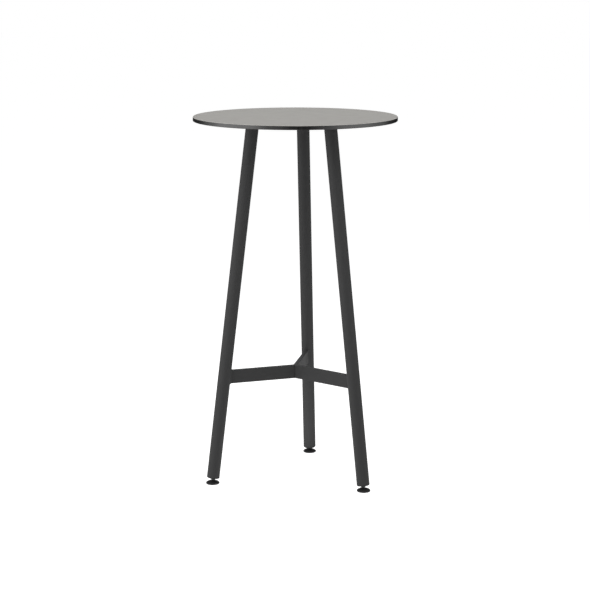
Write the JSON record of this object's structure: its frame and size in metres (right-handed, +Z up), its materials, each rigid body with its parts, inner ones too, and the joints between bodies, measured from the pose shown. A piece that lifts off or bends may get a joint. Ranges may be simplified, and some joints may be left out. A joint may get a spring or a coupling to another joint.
{
  "type": "standing meeting table",
  "caption": "Bar-height round table: thin laminate top on leaning steel tube legs, tied low down by a Y-shaped stretcher, with screw-adjustable swivel feet.",
  "frame": {"origin": "on the floor, on the axis of the round top", "axes": "+Z up; one leg leans towards +Y, the other two towards -X and +X at 120 degrees from it"},
  "size_m": [0.5999, 0.6, 1.09],
  "materials": {
    "laminate_face": "matte",
    "laminate_core": "satin",
    "graphite_powder_coat": "matte",
    "zinc_steel": "satin",
    "insert_brass": "satin",
    "stud_steel": "satin",
    "black_plastic": "matte",
    "ball_nylon": "satin",
    "sole_rubber": "matte"
  },
  "bodies": {
    "frame": {"tabletop_core": "laminate_core", "tabletop_face_laminate": "laminate_face", "tabletop_backing_laminate": "laminate_face", "threaded_inserts": "insert_brass", "mounting_plate": "graphite_powder_coat", "plate_washers": "zinc_steel", "plate_screws": "zinc_steel", "leg_top_welds": "graphite_powder_coat", "stretcher_end_welds": "graphite_powder_coat", "stretcher_centre_welds": "graphite_powder_coat", "leg_back": "graphite_powder_coat", "stretcher_arm_back": "graphite_powder_coat", "foot_plug_back": "black_plastic", "foot_nut_back": "zinc_steel", "leg_left": "graphite_powder_coat", "stretcher_arm_left": "graphite_powder_coat", "foot_plug_left": "black_plastic", "foot_nut_left": "zinc_steel", "leg_right": "graphite_powder_coat", "stretcher_arm_right": "graphite_powder_coat", "foot_plug_right": "black_plastic", "foot_nut_right": "zinc_steel"},
    "back_ball": {"foot_ball_back": "ball_nylon"},
    "back_stud": {"foot_stud_back": "stud_steel"},
    "back_pad": {"foot_pad_back": "black_plastic", "foot_sole_back": "sole_rubber"},
    "left_ball": {"foot_ball_left": "ball_nylon"},
    "left_stud": {"foot_stud_left": "stud_steel"},
    "left_pad": {"foot_pad_left": "black_plastic", "foot_sole_left": "sole_rubber"},
    "right_ball": {"foot_ball_right": "ball_nylon"},
    "right_stud": {"foot_stud_right": "stud_steel"},
    "right_pad": {"foot_pad_right": "black_plastic", "foot_sole_right": "sole_rubber"}
  },
  "joints": [
    {"name": "back_foot_height", "type": "slide", "parent": "frame", "child": "back_ball", "axis": [0, 0.1219, -0.9925], "range_m": [-0.0015, 0.015]},
    {"name": "back_foot_screw", "type": "hinge", "parent": "back_ball", "child": "back_stud", "pos_m": [0, 0.26265, 0.0074], "axis": [0, 0.1219, -0.9925], "range_deg": [-432, 4320]},
    {"name": "back_foot_tilt", "type": "hinge", "parent": "back_ball", "child": "back_pad", "pos_m": [0, 0.26265, 0.0074], "axis": [-1, 0, 0], "range_deg": [-22, 8]},
    {"name": "left_foot_height", "type": "slide", "parent": "frame", "child": "left_ball", "axis": [-0.1055, -0.0609, -0.9925], "range_m": [-0.0015, 0.015]},
    {"name": "left_foot_screw", "type": "hinge", "parent": "left_ball", "child": "left_stud", "pos_m": [-0.22746, -0.13133, 0.0074], "axis": [-0.1055, -0.0609, -0.9925], "range_deg": [-432, 4320]},
    {"name": "left_foot_tilt", "type": "hinge", "parent": "left_ball", "child": "left_pad", "pos_m": [-0.22746, -0.13133, 0.0074], "axis": [0.5, -0.866, 0], "range_deg": [-22, 8]},
    {"name": "right_foot_height", "type": "slide", "parent": "frame", "child": "right_ball", "axis": [0.1055, -0.0609, -0.9925], "range_m": [-0.0015, 0.015]},
    {"name": "right_foot_screw", "type": "hinge", "parent": "right_ball", "child": "right_stud", "pos_m": [0.22746, -0.13133, 0.0074], "axis": [0.1055, -0.0609, -0.9925], "range_deg": [-432, 4320]},
    {"name": "right_foot_tilt", "type": "hinge", "parent": "right_ball", "child": "right_pad", "pos_m": [0.22746, -0.13133, 0.0074], "axis": [0.5, 0.866, 0], "range_deg": [-22, 8]}
  ],
  "couplings": [
    {"joint": "back_foot_height", "follows": "back_foot_screw", "m_per_rad": 0.00019894},
    {"joint": "left_foot_height", "follows": "left_foot_screw", "m_per_rad": 0.00019894},
    {"joint": "right_foot_height", "follows": "right_foot_screw", "m_per_rad": 0.00019894}
  ]
}
